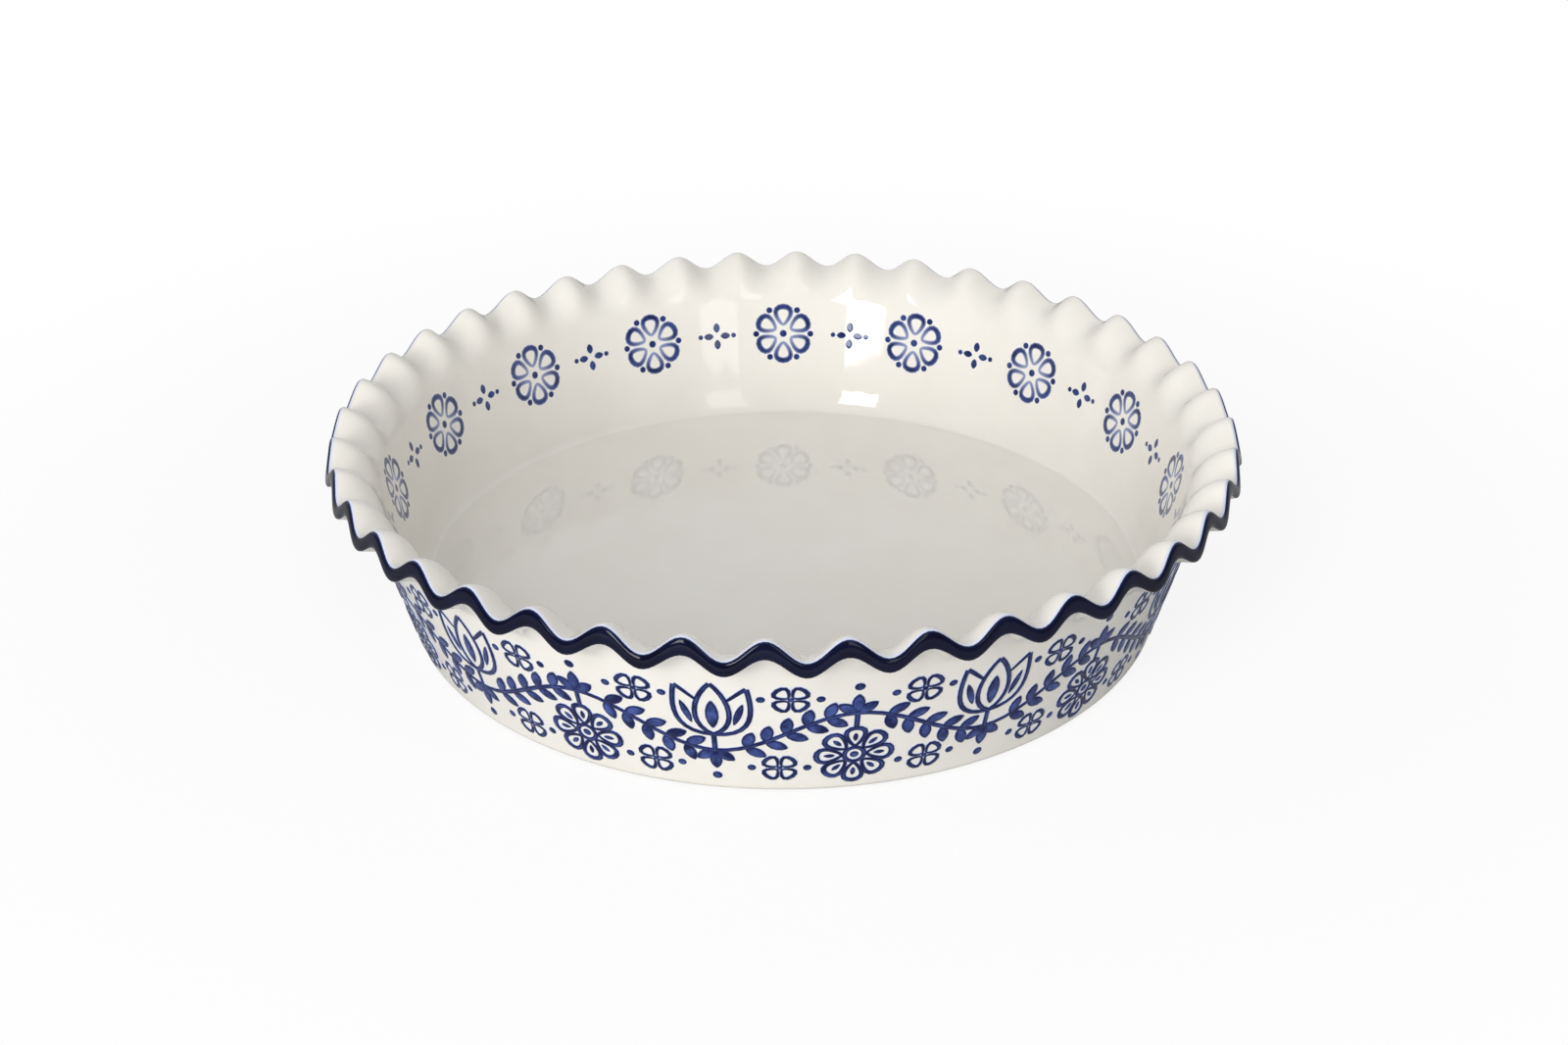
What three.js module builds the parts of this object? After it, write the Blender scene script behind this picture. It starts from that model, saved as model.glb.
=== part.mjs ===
// Round stoneware baking dish with a flared, fluted lip and its fired-on glaze coats.
// Millimetres, +Z up. The origin is the middle of the foot, on the table.
// The dish is drawn as one profile in the half-plane (radius, height), carried round as rings.

import * as THREE from 'three';

// Driving dimensions
const FOOT_RADIUS = 112.9; // where the outer wall's line meets the table
const WALL_LEAN = 16; // degrees, outwards from upright
const WALL_THICKNESS = 5; // glaze included, also the thickness of the lip
const FLOOR_HEIGHT = 9; // top of the floor above the table
const CORNER_RISE = 8.5; // how far the round between floor and wall climbs the wall
const CORNER_RUN = 2.4; // how far that round reaches onto the floor
const LIP_HEIGHT = 56.3; // top of the lip, halfway between crest and hollow
const LIP_RISE = 14; // degrees, slope of the lip's top at its edge
const FLARE_RADIUS = 12; // radius of the round under the lip
const LIP_BULGE = 2; // how far the rounded edge stands out past the flare
const FLUTE_COUNT = 40;
const FLUTE_DEPTH = 2.7; // from the middle of the wave to a crest
const FLUTE_EXTRA = 0.27; // added to the depth on the lip's top, and lost under it
const FLUTE_TURN = 2.43; // degrees from the front to the first outward lobe
const GLAZE = 0.5; // thickness of every coat
const FOOT_ROUND = 3; // radius of the round between wall and foot
const FOOT_GLAZE_STOP = 50; // degrees round the foot's round where the outer coat ends
const FOOT_RING_WIDTH = 7; // flat bare ring that the dish stands on
const RECESS_DEPTH = 1.5; // hollow under the floor, inside the foot ring
const RECESS_DRAFT = 45; // degrees, slope of the foot ring's inner side

// Facets
const PLAIN_STEPS = 80; // round the floor, wall and foot
const FLUTE_STEPS = 6; // round each flute
const CORNER_STEPS = 3;
const FLARE_STEPS = 2;
const LIP_STEPS = 3;
const FOOT_STEPS = 1;

const radians = THREE.MathUtils.degToRad;
const lerp = THREE.MathUtils.lerp;
const flutedSteps = FLUTE_STEPS * FLUTE_COUNT;
const wallTilt = radians(90 - WALL_LEAN);
const lipTilt = radians(LIP_RISE);
const noFlute = new THREE.Vector2(0, 0);

// A slope's own directions in the profile: along it, and square to it on the food side
const along = (tilt) => new THREE.Vector2(Math.cos(tilt), Math.sin(tilt));
const above = (tilt) => new THREE.Vector2(-Math.sin(tilt), Math.cos(tilt));
const shifted = (point, direction, distance) => point.clone().addScaledVector(direction, distance);

// Where the wall's two faces are at a height
const outerWall = (height) => {
  const radius = FOOT_RADIUS + height * Math.tan(radians(WALL_LEAN));
  return new THREE.Vector2(radius, height);
};
const innerWall = (height) => {
  const point = outerWall(height);
  point.x -= WALL_THICKNESS / Math.sin(wallTilt);
  return point;
};

// The flare turns the wall over into the lip, round one centre outside the wall
const flareTop = FLARE_RADIUS + WALL_THICKNESS;
const flareStart = innerWall(LIP_HEIGHT - flareTop * (Math.cos(lipTilt) - Math.cos(wallTilt)));
const flareCentre = shifted(flareStart, above(wallTilt), -flareTop);
const flareTilt = (step) => lerp(wallTilt, lipTilt, step / FLARE_STEPS);

// Crest of a flute: square to the flare, growing from nothing at the wall to full depth at the lip.
// The side runs from 1 on the lip's top to -1 under it.
const fluteCrest = (step, side) => {
  const growth = THREE.MathUtils.smoothstep(step, 0, FLARE_STEPS);
  return above(flareTilt(step)).multiplyScalar(growth * (FLUTE_DEPTH + side * FLUTE_EXTRA));
};

// A ring is a point of the profile carried round the axis, waving along its flute vector.
// Its number keeps two bodies that share a pair of rings on the same facets.
let ringsMade = 0;
function makeRing(point, steps, flute = noFlute) {
  ringsMade += 1;
  return { number: ringsMade, point, steps: point.x === 0 ? 1 : steps, flute };
}

// A glazed place of the profile: the coat's face, and the clay under it
function makeGlazed(point, outwards, steps, flute) {
  const skin = makeRing(point, steps, flute);
  const clay = makeRing(shifted(point, outwards, -GLAZE), steps, flute);
  return { skin, clay };
}

// Floor, corner and wall on the food side, from the axis to the end of the flare.
// The corner is tighter at the floor than at the wall.
function innerPlaces() {
  const places = [];
  const floorMiddle = new THREE.Vector2(0, FLOOR_HEIGHT);
  places.push(makeGlazed(floorMiddle, above(0), PLAIN_STEPS));
  const meeting = innerWall(FLOOR_HEIGHT);
  for (let step = 0; step <= CORNER_STEPS; step += 1) {
    const share = step / CORNER_STEPS;
    const onFloor = along(0).multiplyScalar(CORNER_RUN * (1 - share));
    const onWall = along(wallTilt).multiplyScalar(CORNER_RISE * share);
    const tilt = onFloor.clone().add(onWall).angle();
    const point = meeting.clone().addScaledVector(onFloor, share - 1).addScaledVector(onWall, share);
    places.push(makeGlazed(point, above(tilt), PLAIN_STEPS));
  }
  for (let step = 0; step <= FLARE_STEPS; step += 1) {
    const tilt = flareTilt(step);
    const point = shifted(flareCentre, above(tilt), flareTop);
    const steps = step === 0 ? PLAIN_STEPS : flutedSteps;
    places.push(makeGlazed(point, above(tilt), steps, fluteCrest(step, 1)));
  }
  return places;
}

// The rounded edge of the lip between the two ends of the flare, as half an ellipse
function lipPlaces() {
  const places = [];
  const middle = shifted(flareCentre, above(lipTilt), FLARE_RADIUS + WALL_THICKNESS / 2);
  const edgePoint = (turn, inset) => {
    const raised = shifted(middle, above(lipTilt), (WALL_THICKNESS / 2 - inset) * Math.cos(turn));
    return shifted(raised, along(lipTilt), (LIP_BULGE - inset) * Math.sin(turn));
  };
  for (let step = 1; step < LIP_STEPS; step += 1) {
    const turn = Math.PI * (step / LIP_STEPS);
    const flute = fluteCrest(FLARE_STEPS, Math.cos(turn));
    const skin = makeRing(edgePoint(turn, 0), flutedSteps, flute);
    const clay = makeRing(edgePoint(turn, GLAZE), flutedSteps, flute);
    places.push({ skin, clay });
  }
  return places;
}

// The round between wall and foot
const footCentre = outerWall(FOOT_ROUND);
footCentre.x -= FOOT_ROUND / Math.sin(wallTilt);
const footPoint = (turn) => shifted(footCentre, along(-turn), FOOT_ROUND);
const footTurnStart = radians(WALL_LEAN);
const footTurnStop = radians(FOOT_GLAZE_STOP);
const footTurnEnd = radians(90);

// Under the lip, down the outer wall and a little way round the foot
function outerPlaces() {
  const places = [];
  for (let step = FLARE_STEPS; step >= 0; step -= 1) {
    const tilt = flareTilt(step);
    const point = shifted(flareCentre, above(tilt), FLARE_RADIUS);
    const steps = step === 0 ? PLAIN_STEPS : flutedSteps;
    places.push(makeGlazed(point, above(tilt).negate(), steps, fluteCrest(step, -1)));
  }
  for (const turn of [footTurnStart, footTurnStop]) {
    places.push(makeGlazed(footPoint(turn), along(-turn), PLAIN_STEPS));
  }
  return places;
}

// The bare clay that stands on the table: the rest of the round and the flat ring
function bareFootRings() {
  const rings = [];
  for (let step = 1; step <= FOOT_STEPS; step += 1) {
    const turn = lerp(footTurnStop, footTurnEnd, step / FOOT_STEPS);
    rings.push(makeRing(footPoint(turn), PLAIN_STEPS));
  }
  const ringInside = new THREE.Vector2(footCentre.x - FOOT_RING_WIDTH, 0);
  rings.push(makeRing(ringInside, PLAIN_STEPS));
  return rings;
}

// The glazed hollow under the floor, from its edge to the axis
function recessPlaces() {
  const slope = RECESS_DEPTH / Math.tan(radians(RECESS_DRAFT));
  const edge = new THREE.Vector2(footCentre.x - FOOT_RING_WIDTH - slope, RECESS_DEPTH);
  const middle = new THREE.Vector2(0, RECESS_DEPTH);
  const down = above(0).negate();
  return [makeGlazed(edge, down, PLAIN_STEPS), makeGlazed(middle, down, PLAIN_STEPS)];
}

// Facets between two rings, whatever their counts, facing left of the way from one to the other
function stripFacets(from, to) {
  if (from.number > to.number) {
    return stripFacets(to, from).map(([a, b, c]) => [a, c, b]);
  }
  const facets = [];
  let i = 0;
  let j = 0;
  const fromTurns = from.steps === 1 ? 0 : from.steps;
  const toTurns = to.steps === 1 ? 0 : to.steps;
  while (i < fromTurns || j < toTurns) {
    const fromNext = i < fromTurns ? (i + 0.5) / from.steps : 2;
    const toNext = j < toTurns ? (j + 0.5) / to.steps : 2;
    if (toNext <= fromNext) {
      facets.push([[from, i], [to, j], [to, j + 1]]);
      j += 1;
    } else {
      facets.push([[from, i], [to, j], [from, i + 1]]);
      i += 1;
    }
  }
  return facets;
}

function ringVertex(ring, step) {
  const turn = (2 * Math.PI * step) / ring.steps;
  const wave = -Math.cos(FLUTE_COUNT * turn);
  const radius = ring.point.x + ring.flute.x * wave;
  const height = ring.point.y + ring.flute.y * wave;
  const angle = turn + radians(FLUTE_TURN - 90);
  return [radius * Math.cos(angle), radius * Math.sin(angle), height];
}

// One closed body from its rings in order; a body that is itself a ring joins its last to its first
function makeBody(name, rings, joined, look) {
  const positions = [];
  const firstVertex = new Map();
  for (const ring of rings) {
    firstVertex.set(ring, positions.length / 3);
    for (let step = 0; step < ring.steps; step += 1) {
      positions.push(...ringVertex(ring, step));
    }
  }
  const indices = [];
  const strips = joined ? rings.length : rings.length - 1;
  for (let strip = 0; strip < strips; strip += 1) {
    for (const facet of stripFacets(rings[strip], rings[(strip + 1) % rings.length])) {
      for (const [ring, step] of facet) {
        indices.push(firstVertex.get(ring) + (step % ring.steps));
      }
    }
  }
  const geometry = new THREE.BufferGeometry();
  geometry.setAttribute('position', new THREE.Float32BufferAttribute(positions, 3));
  geometry.setIndex(indices);
  geometry.computeVertexNormals();
  const mesh = new THREE.Mesh(geometry, new THREE.MeshStandardMaterial(look));
  mesh.name = name;
  return mesh;
}

const skins = (places) => places.map((place) => place.skin);
const clays = (places) => places.map((place) => place.clay);

// A coat lies between its own face and the clay's
function makeCoat(name, places, joined, look) {
  return makeBody(name, [...skins(places), ...clays(places).reverse()], joined, look);
}

const bareClay = { color: 0xd9cdb8, roughness: 0.85, metalness: 0 };
const whiteGlaze = { color: 0xf3efe7, roughness: 0.12, metalness: 0 };
const cobaltGlaze = { color: 0x10123a, roughness: 0.12, metalness: 0 };

const inner = innerPlaces();
const lip = lipPlaces();
const outer = outerPlaces();
const recess = recessPlaces();
const rim = [inner.at(-1), ...lip, outer[0]];

// Where a coat stops, the clay steps out to be flush with it
const clayRings = [
  ...clays(inner),
  ...clays(lip),
  ...clays(outer),
  outer.at(-1).skin,
  ...bareFootRings(),
  recess[0].skin,
  ...clays(recess),
];

const dish = new THREE.Group();
dish.name = 'round_baking_dish';
dish.add(makeBody('stoneware_body', clayRings, false, bareClay));
dish.add(makeCoat('inner_glaze', inner, false, whiteGlaze));
dish.add(makeCoat('rim_glaze', rim, true, cobaltGlaze));
dish.add(makeCoat('outer_glaze', outer, true, whiteGlaze));
dish.add(makeBody('base_glaze', [...clays(recess).reverse(), ...skins(recess)], false, whiteGlaze));

export default dish;
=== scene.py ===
import math

import bpy
import numpy as np
from bpy.props import FloatProperty, FloatVectorProperty, IntProperty, PointerProperty
from bpy.types import Operator, Panel, PropertyGroup
from mathutils import Matrix, Vector


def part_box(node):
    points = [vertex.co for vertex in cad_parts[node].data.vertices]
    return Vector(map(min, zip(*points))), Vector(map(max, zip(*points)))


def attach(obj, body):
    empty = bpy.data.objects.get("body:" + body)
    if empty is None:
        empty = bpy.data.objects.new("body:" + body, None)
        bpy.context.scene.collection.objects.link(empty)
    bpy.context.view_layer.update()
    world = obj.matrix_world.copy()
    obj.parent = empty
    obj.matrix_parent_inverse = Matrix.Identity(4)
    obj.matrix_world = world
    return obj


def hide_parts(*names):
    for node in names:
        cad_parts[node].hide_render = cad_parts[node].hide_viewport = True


bl_info = {
    "name": "Fluted Baking Dish",
    "version": (1, 0, 0),
    "blender": (4, 5, 0),
    "location": "3D View > Sidebar > Baking Dish",
    "description": "Builds a glazed stoneware baking dish with a fluted lip and blue painted flowers",
    "category": "Add Mesh",
}

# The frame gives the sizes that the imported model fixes
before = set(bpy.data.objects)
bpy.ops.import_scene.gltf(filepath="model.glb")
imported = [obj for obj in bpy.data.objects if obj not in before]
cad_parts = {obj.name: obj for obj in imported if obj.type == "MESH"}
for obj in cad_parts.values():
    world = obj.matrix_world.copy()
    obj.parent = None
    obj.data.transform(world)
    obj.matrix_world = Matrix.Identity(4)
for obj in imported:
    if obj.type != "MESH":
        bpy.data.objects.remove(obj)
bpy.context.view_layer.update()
BASE_LOW, BASE_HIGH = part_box("base_glaze")
INNER_LOW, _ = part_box("inner_glaze")
COAT = BASE_HIGH[2] - BASE_LOW[2]
RECESS_DEPTH = BASE_LOW[2]
FLOOR_HEIGHT = INNER_LOW[2] + COAT

MM = 0.001
FULL_TURN = 2 * math.pi
MERGE_DISTANCE = 1e-5

# How the section is drawn: a gap, shares of a size, powers that shape a curve, and steps at a detail of 1
SUPPORT_GAP = 0.4 * MM
LIP_SQUARING = 0.7
RIM_SUNK = 0.25
RIM_SWELL = 5
CORNER_STEPS = 5
FLARE_STEPS = 6
UNDER_FLARE_STEPS = 5
EDGE_STEPS = 3
COAT_FOOT_STEPS = 2
BARE_FOOT_STEPS = 3

# Steps of the turned pieces, how finely their seen and hidden sides are drawn, and angles that shade smooth
FLUTE_FACETS = 16
PLAIN_FACETS = 4
RIM_FACETS = 26
SKIN_DETAIL = 4
HIDDEN_DETAIL = 2
SMOOTH_ANGLE = math.radians(40)
PAINT_SMOOTH_ANGLE = math.radians(60)


def length(name, description, default):
    """A size in metres."""
    return FloatProperty(name=name, description=description, default=default, unit="LENGTH", precision=5)


def angle(name, description, degrees):
    """An angle, given in degrees."""
    return FloatProperty(
        name=name, description=description, default=math.radians(degrees), subtype="ANGLE", unit="ROTATION"
    )


def colour(name, description, default):
    """A plain colour, in linear values."""
    return FloatVectorProperty(
        name=name, description=description, default=default, size=3, subtype="COLOR", min=0.0, max=1.0
    )


class DishSizes(PropertyGroup):
    """Sizes of the clay dish and its coats."""

    foot_radius: length("Foot Radius", "Where the outer wall's line meets the table", 112.9 * MM)
    wall_lean: angle("Wall Lean", "Lean of the wall, outwards from upright", 16)
    wall_thickness: length("Wall Thickness", "Wall and lip, coats included", 5 * MM)
    floor_height: length("Floor Height", "Top of the floor above the table", FLOOR_HEIGHT)
    corner_rise: length("Corner Rise", "How far the round between floor and wall climbs the wall", 8.5 * MM)
    corner_run: length("Corner Run", "How far the same round reaches onto the floor", 2.4 * MM)
    lip_height: length("Lip Height", "Top of the lip, halfway between crest and hollow", 56.2 * MM)
    lip_rise: angle("Lip Rise", "Slope of the lip's top at its edge", 14)
    lip_bulge: length("Lip Bulge", "How far the rounded edge stands out past the flare", 1.6 * MM)
    flare_radius: length("Flare Radius", "Round under the lip", 12 * MM)
    flute_count: IntProperty(name="Flutes", description="Waves round the lip", default=40, min=3)
    flute_depth: length("Flute Depth", "From the middle of the wave to a crest", 2.7 * MM)
    flute_extra: length("Flute Extra", "Added to the depth on the lip's top, and lost under it", 0.27 * MM)
    flute_turn: angle("Flute Turn", "From the front to the first outward lobe", 2.43)
    coat: length("Glaze", "Thickness of the white coats", COAT)
    rim_coat: length("Rim Glaze", "How far the rim glaze stands proud of the white coat", 0.2 * MM)
    rim_start: angle("Rim Glaze Start", "Where the rim glaze starts, round the lip's edge from its top", 40)
    rim_end: angle("Rim Glaze End", "Where the rim glaze ends, round the lip's edge from its top", 166)
    foot_round: length("Foot Round", "Round between wall and foot", 3 * MM)
    foot_stop: angle("Foot Glaze Stop", "Where the outer coat ends, round the foot", 50)
    foot_ring: length("Foot Ring", "Width of the bare ring that the dish stands on", 7 * MM)
    recess_depth: length("Recess Depth", "Hollow under the floor", RECESS_DEPTH)


class VineSizes(PropertyGroup):
    """Sizes of the painted vine round the outer wall. Heights are measured up the wall's slope."""

    repeats: IntProperty(name="Repeats", description="Waves of the vine round the wall", default=10, min=3)
    middle: length("Vine Middle", "Height of the vine's middle", 23.5 * MM)
    swing: length("Vine Swing", "From the vine's middle to a crest", 7.2 * MM)
    stem: length("Stem Width", "Width of the vine's stem", 1.8 * MM)
    line: length("Line Width", "Width of the flowers' outlines", 1.75 * MM)
    relief: length("Relief", "How far the paint stands proud", 0.32 * MM)
    leaf_pairs: IntProperty(name="Leaf Pairs", description="Pairs of leaves on one wave", default=14, min=4)
    leaf_length: length("Leaf Length", "Length of a leaf on the vine", 6.7 * MM)
    leaf_width: length("Leaf Width", "Width of a leaf on the vine", 3.7 * MM)
    leaf_spread: angle("Leaf Spread", "Between a leaf and the vine", 50)
    daisy_radius: length("Daisy Radius", "Middle to petal tip", 10.4 * MM)
    daisy_height: length("Daisy Height", "Height of a daisy's middle", 14.4 * MM)
    tulip_height: length("Tulip Height", "Foot to tip of a tulip", 19.6 * MM)
    tulip_stalk: length("Tulip Stalk", "From the vine to a tulip's foot", 6.2 * MM)
    posy_radius: length("Posy Radius", "Middle to petal tip of the small flowers", 4.9 * MM)
    posy_offset: length("Posy Offset", "From the vine to the small flowers' middles", 13.4 * MM)
    berry: length("Berry Radius", "Radius of a berry", 1.45 * MM)


class RingSizes(PropertyGroup):
    """Sizes of the painted ring of flowers on the inner wall."""

    repeats: IntProperty(name="Repeats", description="Rosettes round the wall", default=16, min=3)
    middle: length("Ring Height", "Height of the ring's middle above the table", 34.6 * MM)
    line: length("Line Width", "Width of the outlines at the petals' tips", 2.5 * MM)
    relief: length("Relief", "Thickness of the paint", 0.03 * MM)
    rosette_radius: length("Rosette Radius", "Middle to petal tip", 9.4 * MM)
    sprig_leaf: length("Sprig Leaf", "Length of a leaf between the rosettes", 5.8 * MM)
    dot: length("Dot Radius", "Radius of a dot", 1.15 * MM)


class DishColours(PropertyGroup):
    """Colours of the dish."""

    white_glaze: colour("White Glaze", "Warm white of the coats", (0.86, 0.835, 0.775))
    white_shade: colour("White Shade", "White where the coat is thin", (0.80, 0.765, 0.70))
    rim_dark: colour("Rim Glaze", "Cobalt where it is thick", (0.0014, 0.0018, 0.0145))
    rim_pale: colour("Rim Edge", "Cobalt where it thins out at its upper edge", (0.06, 0.11, 0.36))
    rim_bleed: colour("Rim Bleed", "Pale blue where cobalt runs into the white", (0.3, 0.42, 0.85))
    paint_bleed: colour("Paint Bleed", "Pale blue where the paint runs into the white", (0.5, 0.58, 0.83))
    paint_dark: colour("Paint Pool", "Blue where the paint pools", (0.002, 0.0065, 0.062))
    paint_pale: colour("Paint Crown", "Blue where the paint is thin", (0.052, 0.09, 0.32))
    bare_clay: colour("Bare Clay", "Unglazed foot ring", (0.60, 0.51, 0.39))
    clay_speck: colour("Clay Speck", "Iron specks in the clay", (0.33, 0.24, 0.16))


def along(tilt):
    """Direction of a slope in the section."""
    return Vector((math.cos(tilt), math.sin(tilt)))


def above(tilt):
    """Direction square to a slope, on the food side."""
    return Vector((-math.sin(tilt), math.cos(tilt)))


def between(start, end, steps):
    """Even steps from start to end, both included."""
    return [start + (end - start) * step / steps for step in range(steps + 1)]


def smooth_step(share):
    """Eases a share from nothing to one."""
    return share * share * (3 - 2 * share)


def beside(end, far):
    """A point just inside a straight run, which keeps the run flat beside a round."""
    return end + (far - end).normalized() * SUPPORT_GAP


class DishSection:
    """The dish cut through its axis: points are (radius, height)."""

    def __init__(self, sizes):
        self.sizes = sizes
        self.wall_tilt = math.pi / 2 - sizes.wall_lean
        self.flare_top = sizes.flare_radius + sizes.wall_thickness
        self.flare_middle = sizes.flare_radius + sizes.wall_thickness / 2
        flare_fall = self.flare_top * (math.cos(sizes.lip_rise) - math.cos(self.wall_tilt))
        flare_start = self.inner_wall(sizes.lip_height - flare_fall)
        self.flare_centre = flare_start - above(self.wall_tilt) * self.flare_top
        self.foot_centre = self.outer_wall(sizes.foot_round)
        self.foot_centre.x -= sizes.foot_round / math.sin(self.wall_tilt)

    def outer_wall(self, height):
        return Vector((self.sizes.foot_radius + height * math.tan(self.sizes.wall_lean), height))

    def inner_wall(self, height):
        point = self.outer_wall(height)
        point.x -= self.sizes.wall_thickness / math.sin(self.wall_tilt)
        return point

    def floor_corner(self, lift, steps):
        """The round between floor and wall, tighter at the floor than at the wall."""
        sizes = self.sizes
        meeting = self.inner_wall(sizes.floor_height)
        points = []
        for share in between(0.0, 1.0, steps):
            floor_part = along(0.0) * sizes.corner_run * (1 - share)
            wall_part = along(self.wall_tilt) * sizes.corner_rise * share
            heading = floor_part + wall_part
            point = meeting - floor_part * (1 - share) + wall_part * share
            points.append(point + above(math.atan2(heading.y, heading.x)) * lift)
        return points

    def lip_edge(self, turn, lift):
        """The lip's edge, from its top round to its underside: half an ellipse, a little squared off."""
        sizes = self.sizes
        half = sizes.wall_thickness / 2
        middle = self.flare_centre + above(sizes.lip_rise) * self.flare_middle
        rise = math.copysign(abs(math.cos(turn)) ** LIP_SQUARING, math.cos(turn))
        reach = abs(math.sin(turn)) ** LIP_SQUARING
        raised = middle + above(sizes.lip_rise) * (half + lift) * rise
        return raised + along(sizes.lip_rise) * (sizes.lip_bulge + lift) * reach

    def foot_edge(self, turn, lift):
        return self.foot_centre + along(-turn) * (self.sizes.foot_round + lift)

    def inner_line(self, lift, detail):
        """Floor, corner, wall and flare, from the axis to the middle of the lip's edge."""
        sizes = self.sizes
        centre = Vector((0.0, sizes.floor_height + lift))
        corner = self.floor_corner(lift, CORNER_STEPS * detail)
        flare = []
        for tilt in between(self.wall_tilt, sizes.lip_rise, FLARE_STEPS * detail):
            flare.append(self.flare_centre + above(tilt) * (self.flare_top + lift))
        edge_turns = between(0.0, math.pi / 2, EDGE_STEPS * detail)[1:]
        edge = [self.lip_edge(turn, lift) for turn in edge_turns]
        floor_end = beside(corner[0], centre)
        wall_ends = [beside(corner[-1], flare[0]), beside(flare[0], corner[-1])]
        return [centre, floor_end, *corner, *wall_ends, *flare, *edge]

    def outer_line(self, lift, detail):
        """From the middle of the lip's edge, under the flare and down the wall to the foot."""
        sizes = self.sizes
        edge_turns = between(math.pi / 2, math.pi, EDGE_STEPS * detail)
        points = [self.lip_edge(turn, lift) for turn in edge_turns]
        for tilt in between(sizes.lip_rise, self.wall_tilt, UNDER_FLARE_STEPS * detail)[1:]:
            points.append(self.flare_centre + above(tilt) * (sizes.flare_radius - lift))
        foot_turns = between(sizes.wall_lean, sizes.foot_stop, COAT_FOOT_STEPS * detail)
        foot = [self.foot_edge(turn, lift) for turn in foot_turns]
        wall_ends = [beside(points[-1], foot[0]), beside(foot[0], points[-1])]
        return [*points, *wall_ends, *foot]

    def foot_line(self, detail):
        """The bare foot: the rest of its round, its flat ring and the slope into the recess."""
        sizes = self.sizes
        foot_turns = between(sizes.foot_stop, math.pi / 2, BARE_FOOT_STEPS * detail)
        points = [self.foot_edge(turn, 0.0) for turn in foot_turns]
        ring_inside = Vector((points[-1].x - sizes.foot_ring, 0.0))
        return [*points, ring_inside, self.recess_edge()]

    def recess_edge(self):
        sizes = self.sizes
        return Vector((self.foot_centre.x - sizes.foot_ring - sizes.recess_depth, sizes.recess_depth))

    def rim_line(self, steps):
        """The rim glaze: a low swell over the lip's edge that sinks into the white coat at both ends."""
        sizes = self.sizes
        sunk = -RIM_SUNK * sizes.rim_coat
        outside = []
        inside = []
        for share in between(-1.0, 1.0, steps):
            turn = (sizes.rim_start + sizes.rim_end + share * (sizes.rim_end - sizes.rim_start)) / 2
            lift = sunk + (sizes.rim_coat - sunk) * (1 - abs(share) ** RIM_SWELL)
            outside.append(self.lip_edge(turn, lift))
            inside.append(self.lip_edge(turn, 2 * sunk))
        return outside + inside[::-1]


def deselect_all():
    if bpy.context.object and bpy.context.object.mode != "OBJECT":
        bpy.ops.object.mode_set(mode="OBJECT")
    bpy.ops.object.select_all(action="DESELECT")


def select_only(piece):
    deselect_all()
    piece.select_set(True)
    bpy.context.view_layer.objects.active = piece


def name_piece(piece, name):
    piece.name = name
    piece.data.name = name


def draw_section(points):
    """Draws a section as a chain of edges, each vertex pulled out of the last."""
    deselect_all()
    bpy.ops.mesh.primitive_plane_add(size=MM)
    bpy.ops.object.mode_set(mode="EDIT")
    bpy.ops.mesh.select_all(action="SELECT")
    bpy.ops.mesh.merge(type="CENTER")
    bpy.ops.transform.translate(value=(points[0].x, 0, points[0].y))
    for start, end in zip(points, points[1:]):
        move = {"value": (end.x - start.x, 0, end.y - start.y)}
        bpy.ops.mesh.extrude_region_move(TRANSFORM_OT_translate=move)


def turn_section(name, points, slices, steps):
    """Spins a section through one slice and repeats the slice round the axis into a closed piece."""
    draw_section(points)
    bpy.ops.mesh.select_all(action="SELECT")
    bpy.ops.mesh.spin(steps=steps, angle=FULL_TURN / slices, center=(0, 0, 0), axis=(0, 0, 1))
    bpy.ops.object.mode_set(mode="OBJECT")
    piece = bpy.context.object
    name_piece(piece, name)

    bpy.ops.object.empty_add(rotation=(0, 0, FULL_TURN / slices))
    next_slice = bpy.context.object
    select_only(piece)
    array = piece.modifiers.new("Slices", "ARRAY")
    array.count = slices
    array.use_relative_offset = False
    array.use_object_offset = True
    array.offset_object = next_slice
    bpy.ops.object.modifier_apply(modifier=array.name)
    bpy.data.objects.remove(next_slice)

    bpy.ops.object.mode_set(mode="EDIT")
    bpy.ops.mesh.select_all(action="SELECT")
    bpy.ops.mesh.remove_doubles(threshold=MERGE_DISTANCE)
    bpy.ops.mesh.normals_make_consistent(inside=False)
    bpy.ops.object.mode_set(mode="OBJECT")
    return piece


def read_points(piece):
    points = np.empty(3 * len(piece.data.vertices))
    piece.data.vertices.foreach_get("co", points)
    return points.reshape(-1, 3)


def write_points(piece, points):
    piece.data.vertices.foreach_set("co", np.ascontiguousarray(points, dtype=np.float64).ravel())
    piece.data.update()


def store_value(piece, name, values):
    """Keeps one number for each vertex, for the material to read."""
    attribute = piece.data.attributes.new(name, "FLOAT", "POINT")
    attribute.data.foreach_set("value", np.ascontiguousarray(values, dtype=np.float32))


def store_edge_distance(piece, section):
    """Keeps how far each vertex lies from the upper edge of the rim glaze, in the section's plane."""
    points = read_points(piece)
    edge = section.lip_edge(section.sizes.rim_start, 0.0)
    radius = np.hypot(points[:, 0], points[:, 1])
    store_value(piece, "from_rim", np.hypot(radius - edge.x, points[:, 2] - edge.y))


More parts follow.
